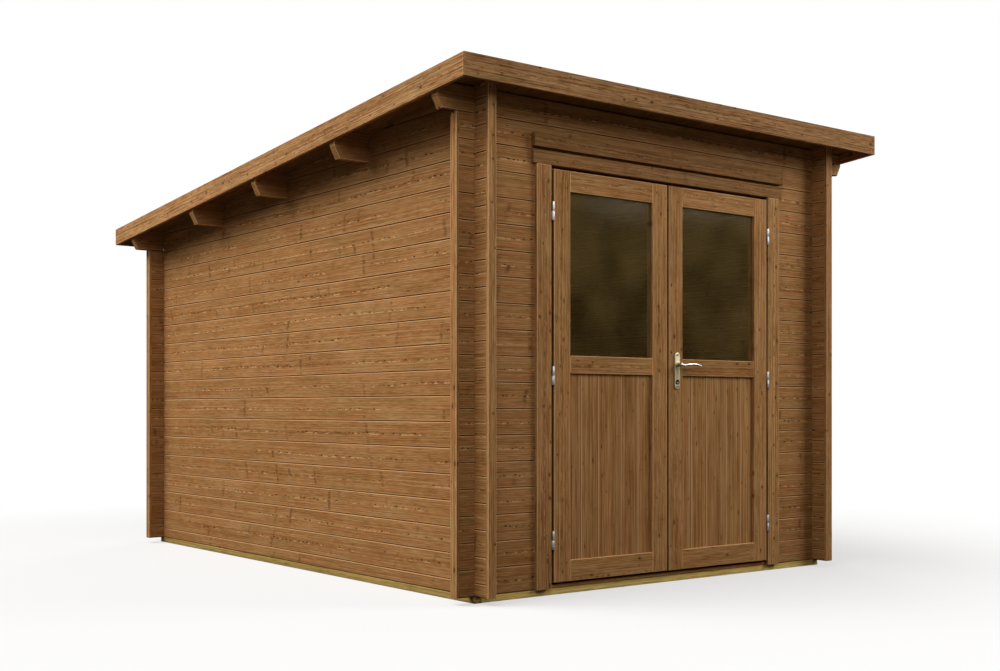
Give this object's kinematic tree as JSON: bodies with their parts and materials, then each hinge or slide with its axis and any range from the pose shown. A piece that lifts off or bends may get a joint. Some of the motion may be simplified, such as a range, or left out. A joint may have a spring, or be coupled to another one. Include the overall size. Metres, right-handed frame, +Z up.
{
  "type": "wooden garden shed",
  "caption": "Log garden shed with a lean-to roof falling to the back, crossed log corners, and glazed double doors with a lever handle in the front wall.",
  "frame": {"origin": "on the ground under the middle of the roof's outline", "axes": "+Z up, doors face -Y, +X to the right for someone who faces the doors from outside"},
  "size_m": [2.69, 3.7, 2.268],
  "materials": {
    "log_timber": "brown wood stain, satin",
    "trim_timber": "brown wood stain, planed boards",
    "frame_timber": "brown wood stain, in shade",
    "door_timber": "brown wood stain, satin",
    "floor_timber": "planed spruce",
    "roof_timber": "brown wood stain, planed boards",
    "treated_timber": "pressure treated, greenish",
    "roof_felt": "mineral granules on bitumen felt",
    "hinge_steel": "zinc plated",
    "handle_metal": "satin anodised",
    "door_glass": "clear float glass"
  },
  "bodies": {
    "shed": {"side_beams": "treated_timber", "cross_beams": "treated_timber", "floor_joists": "treated_timber", "floor_boards": "floor_timber", "left_wall": "log_timber", "right_wall": "log_timber", "back_wall": "log_timber", "front_wall_left": "log_timber", "front_wall_right": "log_timber", "front_wall_top": "log_timber", "front_left_corner_boards": "trim_timber", "front_right_corner_boards": "trim_timber", "back_left_corner_boards": "trim_timber", "back_right_corner_boards": "trim_timber", "purlins": "log_timber", "roof_deck": "roof_timber", "front_fascia": "trim_timber", "back_fascia": "trim_timber", "left_fascia": "trim_timber", "right_fascia": "trim_timber", "roof_felt": "roof_felt", "door_jambs": "frame_timber", "door_lintel": "frame_timber", "door_stops": "frame_timber", "threshold": "frame_timber", "side_casings": "trim_timber", "head_casing": "trim_timber", "drip_cap": "trim_timber", "inner_casings": "trim_timber", "frame_hinges": "hinge_steel"},
    "left_door": {"left_door_stiles": "door_timber", "left_door_rails": "door_timber", "left_door_panel": "door_timber", "left_door_glass": "door_glass", "left_door_beads": "door_timber", "left_door_hinges": "hinge_steel"},
    "right_door": {"right_door_stiles": "door_timber", "right_door_rails": "door_timber", "right_door_panel": "door_timber", "right_door_glass": "door_glass", "right_door_beads": "door_timber", "right_door_hinges": "hinge_steel", "outside_handle_plate": "handle_metal", "inside_handle_plate": "handle_metal"},
    "lever": {"outside_lever": "handle_metal", "inside_lever": "handle_metal"}
  },
  "joints": [
    {"name": "left_door_hinge", "type": "hinge", "parent": "shed", "child": "left_door", "pos_m": [-0.7155, -1.661, 0.057], "axis": [0, 0, -1], "range_deg": [0, 110]},
    {"name": "right_door_hinge", "type": "hinge", "parent": "shed", "child": "right_door", "pos_m": [0.7155, -1.661, 0.057], "axis": [0, 0, 1], "range_deg": [0, 110]},
    {"name": "lever_turn", "type": "hinge", "parent": "right_door", "child": "lever", "pos_m": [0.059, -1.658, 1.038], "axis": [0, 1, 0], "range_deg": [0, 40], "stiffness_Nm_per_rad": 0.6, "springref_deg": -34.38}
  ]
}
